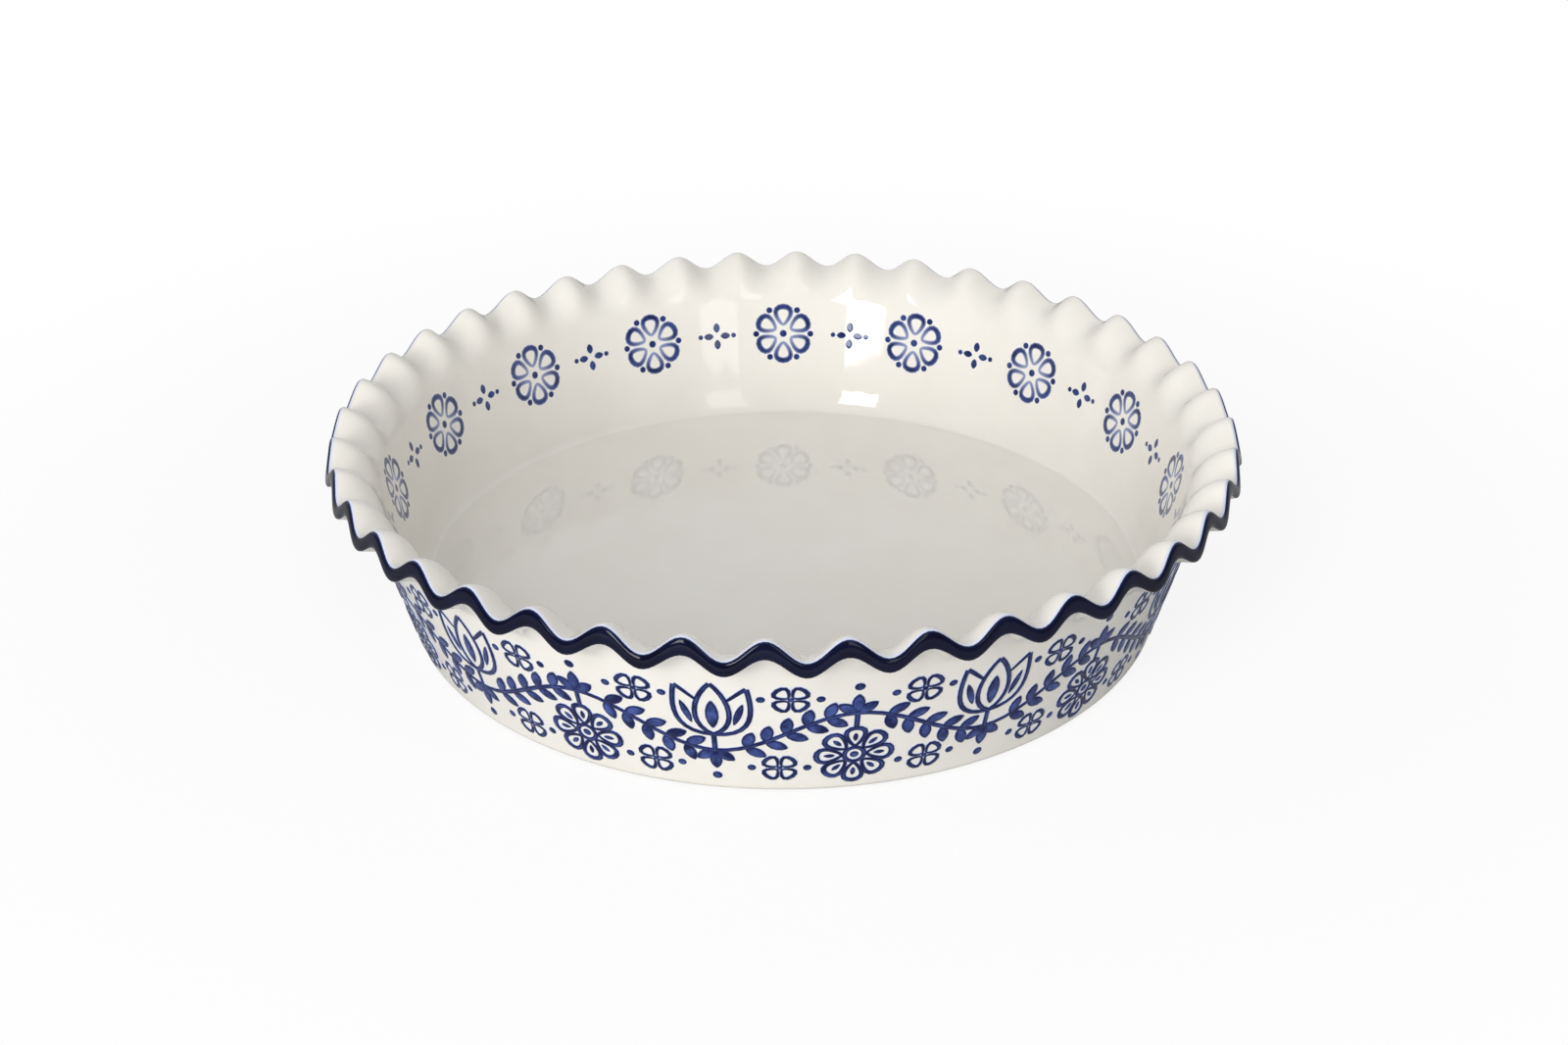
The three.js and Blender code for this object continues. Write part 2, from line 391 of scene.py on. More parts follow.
def press_flutes(piece, section):
    """Waves the flare and the lip square to the slope, more on the lip's top than under it."""
    sizes = section.sizes
    points = read_points(piece)
    radius = np.hypot(points[:, 0], points[:, 1])
    turn = np.arctan2(points[:, 0], -points[:, 1])
    across = radius - section.flare_centre.x
    up = points[:, 2] - section.flare_centre.y
    tilt = np.clip(np.arctan2(-across, up), sizes.lip_rise, section.wall_tilt)
    growth = smooth_step((section.wall_tilt - tilt) / (section.wall_tilt - sizes.lip_rise))
    rise = up * np.cos(tilt) - across * np.sin(tilt) - section.flare_middle
    depth = sizes.flute_depth + sizes.flute_extra * np.clip(2 * rise / sizes.wall_thickness, -1, 1)
    move = -np.cos(sizes.flute_count * (turn - sizes.flute_turn)) * growth * depth
    points[:, 2] += move * np.cos(tilt)
    on_axis = radius < MERGE_DISTANCE
    scale = np.where(on_axis, 1.0, 1 - move * np.sin(tilt) / np.where(on_axis, 1.0, radius))
    points[:, 0] *= scale
    points[:, 1] *= scale
    write_points(piece, points)


def finish_piece(piece, material, smooth_angle=SMOOTH_ANGLE, nodes=()):
    """Shades a piece, gives it its material and fixes it to the dish."""
    select_only(piece)
    bpy.ops.object.shade_smooth_by_angle(angle=smooth_angle)
    piece.data.materials.clear()
    piece.data.materials.append(material)
    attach(piece, "root")
    if nodes:
        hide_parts(*nodes)


# Flat drawing: x runs round the wall, y up its slope, z out of it
PETAL_STEPS = 16
POSY_STEPS = 12
POSY_PETALS = 4
DAISY_PETALS = 8
ROSETTE_PETALS = 6
EYE_SHARE = 0.34
SPRIG_SPREAD = math.radians(54)
STEM_STEPS = 24
PAINT_SUNK = 0.4

# Rings of a paint mound: the share of its height, and of its outline's size
LEAF_RINGS = ((0.35, 1.0), (0.82, 0.84), (1.0, 0.55))
DOT_RINGS = ((0.35, 1.0), (0.82, 0.8), (1.0, 0.45))
LEAF_POINTING = 0.45


def ways_round(count, first=0.0):
    """Even turns round a middle."""
    return [first + FULL_TURN * step / count for step in range(count)]


def petal_shares(steps):
    """Places round a petal: the turn, and how far out it is from the petal's foot."""
    return [(turn, 0.5 - 0.5 * math.cos(turn)) for turn in ways_round(steps)]


def petal_outline(middle, direction, inner, outer, width, steps):
    """A drop-shaped petal that points away from the flower's middle."""
    points = []
    for turn, share in petal_shares(steps):
        reach = inner + (outer - inner) * share
        fullness = 0.45 + 0.75 * share
        side = width / 2 * math.sin(turn) * fullness
        points.append(middle + along(direction) * reach + above(direction) * side)
    return points


def petal_weights(steps, foot=0.75, tip=1.15):
    """A petal's outline is bolder towards its tip."""
    return [foot + (tip - foot) * share for _, share in petal_shares(steps)]


def circle_outline(middle, radius, steps=14):
    return [middle + along(turn) * radius for turn in ways_round(steps)]


def curve_line(start, first, second, end, steps=10):
    """Points on a curve drawn with two handles."""
    points = []
    for share in between(0.0, 1.0, steps):
        rest = 1 - share
        near = start * rest**3 + first * (3 * rest**2 * share)
        points.append(near + second * (3 * rest * share**2) + end * share**3)
    return points


class FlatDrawing:
    """One repeat of a painted pattern: lines, leaves and dots, before they go onto the wall."""

    def __init__(self):
        self.lines = []
        self.leaves = []
        self.dots = []

    def outline(self, points, width, weights=None):
        """A closed brush line."""
        weights = weights or [1.0] * len(points)
        self.lines.append((points, [width * weight for weight in weights], True))

    def stroke(self, points, width, taper=1.0):
        """An open brush line, thinning towards its end where taper is under 1."""
        self.lines.append((points, between(width, width * taper, len(points) - 1), False))

    def leaf(self, foot, direction, size, width):
        self.leaves.append((foot, direction, size, width))

    def dot(self, middle, radius):
        self.dots.append((middle, radius))

    def petals(self, middle, directions, inner, outer, width, line, steps=PETAL_STEPS, **weights):
        """Outlined petals that point in the given directions."""
        for direction in directions:
            points = petal_outline(middle, direction, inner, outer, width, steps)
            self.outline(points, line, petal_weights(steps, **weights))

    def flower(self, middle, count, inner, outer, width, line):
        """A round flower seen from the front: outlined petals, each with a small leaf in it."""
        directions = ways_round(count, math.pi / 2)
        self.petals(middle, directions, inner, outer, width, line)
        reach = outer - inner
        leaf_start = inner + 0.24 * reach
        leaf_length = 0.48 * reach
        leaf_width = 0.26 * width
        for direction in directions:
            self.leaf(middle + along(direction) * leaf_start, direction, leaf_length, leaf_width)
        eye_ring = 0.78 * inner
        eye_dot = 0.36 * inner
        self.outline(circle_outline(middle, eye_ring), line)
        self.dot(middle, eye_dot)

    def posy(self, middle, radius, line):
        """A small flower of round petals, with a dot in its middle."""
        directions = ways_round(POSY_PETALS, math.pi / 4)
        petal_foot = 0.2 * radius
        petal_width = 0.98 * radius
        petal_line = 0.85 * line
        eye_dot = 0.17 * radius
        self.petals(middle, directions, petal_foot, radius, petal_width, petal_line, POSY_STEPS)
        self.dot(middle, eye_dot)

    def rosette(self, middle, count, inner, outer, width, line):
        """A round flower of open petals with a bold outline, and a dot in its middle."""
        directions = ways_round(count, math.pi / 2)
        self.petals(middle, directions, inner, outer, width, line, foot=0.65, tip=1.0)
        eye_dot = 0.42 * inner
        self.dot(middle, eye_dot)

    def tulip(self, foot, height, line):
        """A tulip seen from the side: a pointed middle petal between two open ones.

        Its points are given as shares of its height, across and up from its foot.
        """

        def place(across, up):
            return foot + Vector((across * height, up * height))

        for side in (-1, 1):
            middle_petal = curve_line(foot, place(0.36 * side, 0.18), place(0.25 * side, 0.72), place(0, 1))
            self.stroke(middle_petal, line)
            tip = place(0.47 * side, 0.93)
            self.stroke(curve_line(foot, place(0.58 * side, 0), place(0.55 * side, 0.5), tip), line)
            notch = place(0.17 * side, 0.66)
            inside = curve_line(tip, place(0.33 * side, 0.82), place(0.25 * side, 0.7), notch)
            self.stroke(inside, line, taper=0.7)
            lean = math.atan2(0.42, 0.13 * side)
            self.leaf(place(0.28 * side, 0.2), lean, 0.46 * height, 0.11 * height)
        self.leaf(place(0, 0.12), math.pi / 2, 0.56 * height, 0.19 * height)

    def sprig(self, foot, direction, size, width):
        """Three leaves that spread from one point."""
        self.leaf(foot, direction, size, width)
        for side in (-1, 1):
            self.leaf(foot, direction + side * SPRIG_SPREAD, 0.88 * size, width)


def vine_point(sizes, period, across):
    """A point on the vine's wave."""
    return Vector((across, sizes.middle + sizes.swing * math.sin(FULL_TURN * across / period)))


def vine_heading(sizes, period, across):
    """The way that the vine runs at a point."""
    rate = FULL_TURN / period
    return math.atan(sizes.swing * rate * math.cos(rate * across))


def draw_vine_repeat(sizes, period):
    """One wave of the vine: a daisy hangs under its crest and a tulip stands in its trough."""
    drawing = FlatDrawing()
    crest = vine_point(sizes, period, period / 4)
    trough = vine_point(sizes, period, 3 * period / 4)

    daisy = Vector((crest.x, sizes.daisy_height))
    drawing.stroke([crest, daisy + Vector((0, sizes.daisy_radius))], sizes.stem)
    eye = EYE_SHARE * sizes.daisy_radius
    petal_width = 0.56 * sizes.daisy_radius
    drawing.flower(daisy, DAISY_PETALS, eye, sizes.daisy_radius, petal_width, sizes.line)

    tulip_foot = trough + Vector((0, sizes.tulip_stalk))
    drawing.stroke([trough, tulip_foot], sizes.stem)
    drawing.tulip(tulip_foot, sizes.tulip_height, sizes.line)

    sprig_leaf = 1.1 * sizes.leaf_length
    berry_gap = 1.5 * sizes.leaf_length
    for bend, way in ((crest, 1), (trough, -1)):
        drawing.sprig(bend, way * math.pi / 2, sprig_leaf, sizes.leaf_width)
        drawing.dot(bend + Vector((0, way * berry_gap)), sizes.berry)

    # Leaves that would cross a flower's stalk are left off
    clear = 0.6 * sizes.leaf_length
    half_leaf = sizes.leaf_length / 2 * math.cos(sizes.leaf_spread)
    for pair in range(sizes.leaf_pairs):
        foot = vine_point(sizes, period, pair * period / sizes.leaf_pairs)
        places = (foot.x, foot.x + half_leaf)
        if min(abs(place - bend.x) for place in places for bend in (crest, trough)) < clear:
            continue
        ahead = vine_heading(sizes, period, foot.x)
        for side in (-1, 1):
            drawing.leaf(foot, ahead + side * sizes.leaf_spread, sizes.leaf_length, sizes.leaf_width)

    posy_lean = 1.5 * MM
    dot_gap = 1.55 * sizes.posy_radius
    dot_radius = 0.85 * sizes.berry
    for across, sign in ((0.0, 1), (period / 2, -1)):
        for way in (-1, 1):
            shift = Vector((posy_lean * way * sign, way * sizes.posy_offset))
            posy = vine_point(sizes, period, across) + shift
            drawing.posy(posy, sizes.posy_radius, sizes.line)
            for side in (-1, 1):
                drawing.dot(posy + Vector((side * dot_gap, 0)), dot_radius)
    return drawing


def draw_ring_repeat(sizes, period):
    """One rosette and the small sprig beside it, round the inner wall."""
    drawing = FlatDrawing()
    middle = Vector((0.0, 0.0))
    eye = EYE_SHARE * sizes.rosette_radius
    petal_width = 0.62 * sizes.rosette_radius
    drawing.rosette(middle, ROSETTE_PETALS, eye, sizes.rosette_radius, petal_width, sizes.line)
    first_gap = math.pi / 2 + FULL_TURN / ROSETTE_PETALS / 2
    for way in ways_round(ROSETTE_PETALS, first_gap):
        drawing.dot(middle + along(way) * sizes.rosette_radius, sizes.dot)

    sprig = Vector((period / 2, 0.0))
    leaf_foot = 1.1 * MM
    leaf_length = 0.62 * sizes.sprig_leaf
    leaf_width = 0.42 * sizes.sprig_leaf
    for way in (0.0, math.pi / 2, math.pi, -math.pi / 2):
        drawing.leaf(sprig + along(way) * leaf_foot, way, leaf_length, leaf_width)
    for side in (-1, 1):
        drawing.dot(sprig + Vector((side * sizes.sprig_leaf, 0.0)), 0.8 * sizes.dot)
    return drawing


def model_mound(points, relief, sunk, rings):
    """A low mound of paint on an outline, raised in rings, as the active object."""
    deselect_all()
    bpy.ops.mesh.primitive_circle_add(vertices=len(points), radius=1, fill_type="NGON")
    mound = bpy.context.object
    for vertex, point in zip(mound.data.vertices, points):
        vertex.co = (point.x, point.y, -sunk)
    bpy.ops.object.mode_set(mode="EDIT")
    bpy.ops.mesh.select_all(action="SELECT")
    height = -sunk
    shrunk = 1.0
    for share, size in rings:
        rise = share * relief - height
        bpy.ops.mesh.extrude_region_move(TRANSFORM_OT_translate={"value": (0, 0, rise)})
        step = size / shrunk
        bpy.ops.transform.resize(value=(step, step, 1), center_override=(0, 0, 0))
        height += rise
        shrunk = size
    bpy.ops.mesh.select_all(action="SELECT")
    bpy.ops.mesh.normals_make_consistent(inside=False)
    bpy.ops.object.mode_set(mode="OBJECT")
    return mound


def model_leaf(relief, sunk, sides=14):
    """A leaf of length and width 1, with pointed ends and its middle at the origin."""
    outline = []
    for turn in ways_round(sides):
        width = 0.5 * math.sin(turn) * abs(math.sin(turn)) ** LEAF_POINTING
        outline.append(Vector((0.5 * math.cos(turn), width)))
    return model_mound(outline, relief, sunk, LEAF_RINGS)


def model_dot(relief, sunk, sides=12):
    """A round dot of radius 1."""
    outline = circle_outline(Vector((0, 0)), 1.0, sides)
    return model_mound(outline, relief, sunk, DOT_RINGS)


def copy_of(master, placing):
    """A copy of a modelled piece, with its own mesh, moved to its place."""
    copy = master.copy()
    copy.data = master.data.copy()
    copy.data.transform(placing)
    bpy.context.collection.objects.link(copy)
    return copy


def join_pieces(pieces):
    deselect_all()
    for piece in pieces:
        piece.select_set(True)
    bpy.context.view_layer.objects.active = pieces[0]
    bpy.ops.object.join()
    return pieces[0]


def make_leaves(drawing, relief, sunk):
    """All the leaves and dots of one repeat."""
    leaf = model_leaf(relief, sunk)
    dot = model_dot(relief, sunk)
    copies = []
    for foot, direction, size, width in drawing.leaves:
        middle = foot + along(direction) * size / 2
        placing = Matrix.Translation((middle.x, middle.y, 0)) @ Matrix.Rotation(direction, 4, "Z")
        copies.append(copy_of(leaf, placing @ Matrix.Diagonal((size, width, 1, 1))))
    for middle, radius in drawing.dots:
        placing = Matrix.Translation((middle.x, middle.y, 0))
        copies.append(copy_of(dot, placing @ Matrix.Diagonal((radius, radius, 1, 1))))
    for master in (leaf, dot):
        bpy.data.objects.remove(master)
    return join_pieces(copies)


def make_lines(lines, width, relief):
    """Brush lines as flattened round strokes, half sunk in the coat. A line of this width has full relief."""
    deselect_all()
    bpy.ops.curve.primitive_bezier_curve_add()
    brush = bpy.context.object
    brush.data.splines.clear()
    for points, widths, closed in lines:
        spline = brush.data.splines.new("POLY")
        spline.points.add(len(points) - 1)
        for place, point, point_width in zip(spline.points, points, widths):
            place.co = (point.x, point.y, 0, 1)
            place.radius = point_width / width
        spline.use_cyclic_u = closed
    brush.data.bevel_depth = width / 2
    brush.data.bevel_resolution = 2
    brush.data.use_fill_caps = True
    bpy.ops.object.convert(target="MESH")
    bpy.ops.object.mode_set(mode="EDIT")
    bpy.ops.mesh.select_all(action="SELECT")
    bpy.ops.transform.resize(value=(1, 1, 2 * relief / width), center_override=(0, 0, 0))
    bpy.ops.object.mode_set(mode="OBJECT")
    return bpy.context.object


def repeat_along(piece, period, count):
    """Repeats a flat piece side by side."""
    select_only(piece)
    array = piece.modifiers.new("Repeats", "ARRAY")
    array.count = count
    array.use_relative_offset = False
    array.use_constant_offset = True
    array.constant_offset_displace = (period, 0, 0)
    bpy.ops.object.modifier_apply(modifier=array.name)


def write_round(piece, turn, radius, height):
    """Places a piece's vertices round the axis. A turn of 0 is the front."""
    write_points(piece, np.column_stack((radius * np.sin(turn), -radius * np.cos(turn), height)))


def wrap_outside(piece, section, round_length):
    """Lays a flat piece onto the outer wall, starting at the front."""
    flat = read_points(piece)
    lean = section.sizes.wall_lean
    turn = FULL_TURN * flat[:, 0] / round_length
    radius = section.sizes.foot_radius + flat[:, 1] * math.sin(lean) + flat[:, 2] * math.cos(lean)
    height = flat[:, 1] * math.cos(lean) - flat[:, 2] * math.sin(lean)
    write_round(piece, turn, radius, height)


def wrap_inside(piece, section, round_length, middle):
    """Lays a flat piece onto the inner wall, starting at the back, the right way round seen from inside."""
    flat = read_points(piece)
    lean = section.sizes.wall_lean
    turn = math.pi - FULL_TURN * flat[:, 0] / round_length
    up = middle + flat[:, 1] * math.cos(lean)
    wall = section.inner_wall(0.0).x + up * math.tan(lean)
    radius = wall - flat[:, 2] * math.cos(lean)
    height = up + flat[:, 2] * math.sin(lean)
    write_round(piece, turn, radius, height)


def prepare_paint(piece, name, relief, period, copies):
    """Names a flat piece, keeps how high it stands from edge (0) to crown (1), and repeats it."""
    name_piece(piece, name)
    store_value(piece, "crown", np.clip(read_points(piece)[:, 2] / relief, 0.0, 1.0))
    repeat_along(piece, period, copies)


# Materials: shine of the blue glazes, soft edges, and the textures of clay and floor
BLUE_SPECULAR = 0.25
RIM_THIN_EDGE = 0.7 * MM
RIM_BLEED_WIDTH = 1.2 * MM
SPECK_SCALE = 420.0
SAND_SCALE = 900.0
SAND_HEIGHT = 0.12 * MM
FLOOR_GREY = (0.62, 0.62, 0.62)
FLOOR_WHITE = (0.98, 0.98, 0.98)
SHADOW_REACH = (0.12, 0.42)
SHADOW_FADE = (0.86, 1.0)


def node(tree, kind, **values):
    """Adds a shader node and sets its own settings."""
    made = tree.nodes.new(kind)
    for key, value in values.items():
        setattr(made, key, value)
    return made


def empty_tree(owner):
    """Turns on the nodes of a material or a world, and clears them."""
    owner.use_nodes = True
    owner.node_tree.nodes.clear()
    return owner.node_tree


def new_material(name):
    """A material with its tree, its surface shader and its output."""
    material = bpy.data.materials.new(name)
    tree = empty_tree(material)
    shader = node(tree, "ShaderNodeBsdfPrincipled")
    output = node(tree, "ShaderNodeOutputMaterial")
    tree.links.new(shader.outputs["BSDF"], output.inputs["Surface"])
    return material, tree, shader


def feed(tree, socket, value):
    """Links a socket to another node's output, or sets it to a plain colour or number."""
    if isinstance(value, bpy.types.NodeSocket):
        tree.links.new(value, socket)
    elif socket.type == "RGBA":
        socket.default_value = (*value, 1.0)
    else:
        socket.default_value = value


def mix_colours(tree, factor, first, second):
    """Mixes two colours, each a plain colour or another node's output."""
    mix = node(tree, "ShaderNodeMix", data_type="RGBA")
    tree.links.new(factor, mix.inputs["Factor"])
    for name, value in (("A", first), ("B", second)):
        socket = [item for item in mix.inputs if item.name == name and item.type == "RGBA"][0]
        feed(tree, socket, value)
    return [item for item in mix.outputs if item.type == "RGBA"][0]


def multiply(tree, first, second):
    """Multiplies the outputs of two nodes."""
    product = node(tree, "ShaderNodeMath", operation="MULTIPLY")
    tree.links.new(first, product.inputs[0])
    tree.links.new(second, product.inputs[1])
    return product.outputs["Value"]


def map_range(tree, value, source, target, smooth=False):
    """Carries a value from one range to another."""
    made = node(tree, "ShaderNodeMapRange")
    if smooth:
        made.interpolation_type = "SMOOTHSTEP"
    tree.links.new(value, made.inputs["Value"])
    for name, number in zip(("From Min", "From Max", "To Min", "To Max"), (*source, *target)):
        made.inputs[name].default_value = number
    return made.outputs["Result"]


def add_bump(tree, shader, height, distance):
    """Gives a shader fine relief, up to this height."""
    bump = node(tree, "ShaderNodeBump")
    bump.inputs["Strength"].default_value = 1.0
    bump.inputs["Distance"].default_value = distance
    tree.links.new(height, bump.inputs["Height"])
    tree.links.new(bump.outputs["Normal"], shader.inputs["Normal"])


def attribute_value(tree, name):
    return node(tree, "ShaderNodeAttribute", attribute_name=name).outputs["Fac"]


def glaze_group():
    """Shared look of fired glaze: slow changes of tone, uneven gloss and a faint ripple."""
    name = "Fired Glaze"
    if name in bpy.data.node_groups:
        return bpy.data.node_groups[name]
    group = bpy.data.node_groups.new(name, "ShaderNodeTree")
    group.interface.new_socket("Cloud Scale", in_out="INPUT", socket_type="NodeSocketFloat")
    group.interface.new_socket("Ripple Scale", in_out="INPUT", socket_type="NodeSocketFloat")
    for output in ("Tone", "Gloss", "Ripple"):
        group.interface.new_socket(output, in_out="OUTPUT", socket_type="NodeSocketFloat")
    start = node(group, "NodeGroupInput")
    end = node(group, "NodeGroupOutput")
    place = node(group, "ShaderNodeTexCoord").outputs["Object"]
    clouds = node(group, "ShaderNodeTexNoise")
    ripple = node(group, "ShaderNodeTexNoise")
    for noise, scale, detail in ((clouds, "Cloud Scale", 3.0), (ripple, "Ripple Scale", 1.0)):
        noise.inputs["Detail"].default_value = detail
        group.links.new(place, noise.inputs["Vector"])
        group.links.new(start.outputs[scale], noise.inputs["Scale"])
    tone = map_range(group, clouds.outputs["Fac"], (0.35, 0.65), (0.0, 1.0))
    group.links.new(tone, end.inputs["Tone"])
    group.links.new(clouds.outputs["Fac"], end.inputs["Gloss"])
    group.links.new(ripple.outputs["Fac"], end.inputs["Ripple"])
    return group


def add_glaze(tree, shader, cloud_scale, ripple_scale=160.0, ripple=0.012 * MM, roughness=(0.03, 0.06)):
    """Puts the fired glaze group into a material and returns its tone.

    Unless others are given, the ripple and the roughness are those of the white coats.
    """
    glaze = node(tree, "ShaderNodeGroup", node_tree=glaze_group())
    glaze.inputs["Cloud Scale"].default_value = cloud_scale
    glaze.inputs["Ripple Scale"].default_value = ripple_scale
    rough = map_range(tree, glaze.outputs["Gloss"], (0.3, 0.7), roughness)
    tree.links.new(rough, shader.inputs["Roughness"])
    add_bump(tree, shader, glaze.outputs["Ripple"], ripple)
    return glaze.outputs["Tone"]


def white_glaze_material(colours, with_bleed):
    """Warm white glaze. With bleed, it is tinted blue in a thin line beside the rim glaze."""
    material, tree, shader = new_material("White Glaze Lip" if with_bleed else "White Glaze")
    tone = add_glaze(tree, shader, cloud_scale=45.0)
    faint = map_range(tree, tone, (0.0, 1.0), (0.0, 0.35))
    base = mix_colours(tree, faint, colours.white_glaze, colours.white_shade)
    if with_bleed:
        from_rim = attribute_value(tree, "from_rim")
        near = map_range(tree, from_rim, (0.0, RIM_BLEED_WIDTH), (0.45, 0.0), smooth=True)
        base = mix_colours(tree, near, base, colours.rim_bleed)
    tree.links.new(base, shader.inputs["Base Color"])
    return material


def rim_material(colours):
    """Dark cobalt glaze that thins to a paler blue along its upper edge."""
    material, tree, shader = new_material("Cobalt Rim Glaze")
    shader.inputs["Specular IOR Level"].default_value = BLUE_SPECULAR
    tone = add_glaze(tree, shader, 120.0, ripple_scale=260.0, ripple=0.02 * MM, roughness=(0.02, 0.05))
    from_rim = attribute_value(tree, "from_rim")
    edge = map_range(tree, from_rim, (0.0, RIM_THIN_EDGE), (0.35, 0.0), smooth=True)
    patch = map_range(tree, tone, (0.0, 1.0), (0.0, 0.03))
    base = mix_colours(tree, patch, colours.rim_dark, colours.rim_pale)
    base = mix_colours(tree, edge, base, colours.rim_pale)
    tree.links.new(base, shader.inputs["Base Color"])
    return material


def paint_material(colours):
    """Blue relief paint: a soft pale edge, dark where it pools, and paler in patches on its crown."""
    material, tree, shader = new_material("Blue Relief Paint")
    shader.inputs["Specular IOR Level"].default_value = BLUE_SPECULAR
    tone = add_glaze(tree, shader, 260.0, ripple_scale=300.0, ripple=0.02 * MM, roughness=(0.08, 0.16))
    crown = attribute_value(tree, "crown")
    top = map_range(tree, crown, (0.78, 1.0), (0.0, 1.0), smooth=True)
    strong = map_range(tree, crown, (0.25, 0.6), (0.0, 1.0), smooth=True)
    base = mix_colours(tree, multiply(tree, top, tone), colours.paint_dark, colours.paint_pale)
    base = mix_colours(tree, strong, colours.paint_bleed, base)
    tree.links.new(base, shader.inputs["Base Color"])
    return material


def underglaze_material(colours):
    """Blue brushwork in the inner coat: it bleeds into the white at its edges and shines as the coat does."""
    material, tree, shader = new_material("Blue Underglaze")
    tone = add_glaze(tree, shader, cloud_scale=260.0)
    patch = map_range(tree, tone, (0.0, 1.0), (0.08, 0.58))
    blue = mix_colours(tree, patch, colours.paint_dark, colours.paint_pale)
    crown = attribute_value(tree, "crown")
    fringe = map_range(tree, crown, (0.15, 0.6), (0.0, 0.6), smooth=True)
    strong = map_range(tree, crown, (0.3, 0.9), (0.0, 1.0), smooth=True)
    base = mix_colours(tree, fringe, colours.white_glaze, colours.rim_bleed)
    base = mix_colours(tree, strong, base, blue)
    tree.links.new(base, shader.inputs["Base Color"])
    return material


def clay_material(colours):
    """Bare fired clay with iron specks and a fine sandy surface."""
    material, tree, shader = new_material("Bare Stoneware")
    place = node(tree, "ShaderNodeTexCoord").outputs["Object"]
    specks = node(tree, "ShaderNodeTexVoronoi")
    sand = node(tree, "ShaderNodeTexNoise")
    for texture, scale in ((specks, SPECK_SCALE), (sand, SAND_SCALE)):
        texture.inputs["Scale"].default_value = scale
        tree.links.new(place, texture.inputs["Vector"])
    dark = map_range(tree, specks.outputs["Distance"], (0.12, 0.26), (0.8, 0.0))
    base = mix_colours(tree, dark, colours.bare_clay, colours.clay_speck)
    rough = map_range(tree, sand.outputs["Fac"], (0.3, 0.7), (0.75, 0.92))
    tree.links.new(base, shader.inputs["Base Color"])
    tree.links.new(rough, shader.inputs["Roughness"])
    add_bump(tree, shader, sand.outputs["Fac"], SAND_HEIGHT)
    return material


def floor_material():
    """A pale floor that shows white to the camera and keeps a soft shadow round the dish."""
    material = bpy.data.materials.new("White Floor")
    tree = empty_tree(material)
    matt = node(tree, "ShaderNodeBsdfDiffuse")
    lit = node(tree, "ShaderNodeEmission")
    lit.inputs["Color"].default_value = (1, 1, 1, 1)
    lit.inputs["Strength"].default_value = 1.0
    seen = node(tree, "ShaderNodeLightPath").outputs["Is Camera Ray"]
    tree.links.new(mix_colours(tree, seen, FLOOR_GREY, FLOOR_WHITE), matt.inputs["Color"])
    place = node(tree, "ShaderNodeTexCoord").outputs["Object"]
    away = node(tree, "ShaderNodeVectorMath", operation="LENGTH")
    tree.links.new(place, away.inputs[0])
    whiteness = map_range(tree, away.outputs["Value"], SHADOW_REACH, SHADOW_FADE, smooth=True)
    mix = node(tree, "ShaderNodeMixShader")
    tree.links.new(multiply(tree, seen, whiteness), mix.inputs["Fac"])
    tree.links.new(matt.outputs["BSDF"], mix.inputs[1])
    tree.links.new(lit.outputs["Emission"], mix.inputs[2])
    output = node(tree, "ShaderNodeOutputMaterial")
    tree.links.new(mix.outputs["Shader"], output.inputs["Surface"])
    return material


def current_section():
    return DishSection(bpy.context.scene.dish_sizes)


class DISH_OT_stoneware_body(Operator):
    """Turn the clay body, with its fluted lip and bare foot ring"""

    bl_idname = "dish.stoneware_body"
    bl_label = "Stoneware Body"

    def execute(self, context):
        section = current_section()
        sizes = section.sizes
        points = section.inner_line(-sizes.coat, HIDDEN_DETAIL)
        points += section.outer_line(-sizes.coat, HIDDEN_DETAIL)[1:]
        points += section.foot_line(HIDDEN_DETAIL)
        recess = section.recess_edge()
        ceiling = recess.y + sizes.coat
        points += [Vector((recess.x, ceiling)), Vector((0.0, ceiling))]
        body = turn_section("stoneware_body_clay", points, sizes.flute_count, FLUTE_FACETS)
        press_flutes(body, section)
        clay = clay_material(context.scene.dish_colours)
        finish_piece(body, clay, nodes=["stoneware_body"])
        return {"FINISHED"}


class DISH_OT_inner_glaze(Operator):
    """Line the floor, wall and top of the lip with white glaze"""

    bl_idname = "dish.inner_glaze"
    bl_label = "Inner Glaze"

    def execute(self, context):
        section = current_section()
        sizes = section.sizes
        points = section.inner_line(0.0, SKIN_DETAIL)
        points += section.inner_line(-sizes.coat, HIDDEN_DETAIL)[::-1]
        lining = turn_section("inner_glaze_lining", points, sizes.flute_count, FLUTE_FACETS)
        store_edge_distance(lining, section)
        press_flutes(lining, section)
        white = white_glaze_material(context.scene.dish_colours, with_bleed=True)
        finish_piece(lining, white, nodes=["inner_glaze"])
        return {"FINISHED"}


class DISH_OT_outer_glaze(Operator):
    """Coat the outside with white glaze, from the lip's edge to the foot"""

    bl_idname = "dish.outer_glaze"
    bl_label = "Outer Glaze"

    def execute(self, context):
        section = current_section()
        sizes = section.sizes
        points = section.outer_line(0.0, SKIN_DETAIL)
        points += section.outer_line(-sizes.coat, HIDDEN_DETAIL)[::-1]
        points.append(points[0])
        coat = turn_section("outer_glaze_coat", points, sizes.flute_count, FLUTE_FACETS)
        press_flutes(coat, section)
        white = white_glaze_material(context.scene.dish_colours, with_bleed=False)
        finish_piece(coat, white, nodes=["outer_glaze"])
        return {"FINISHED"}


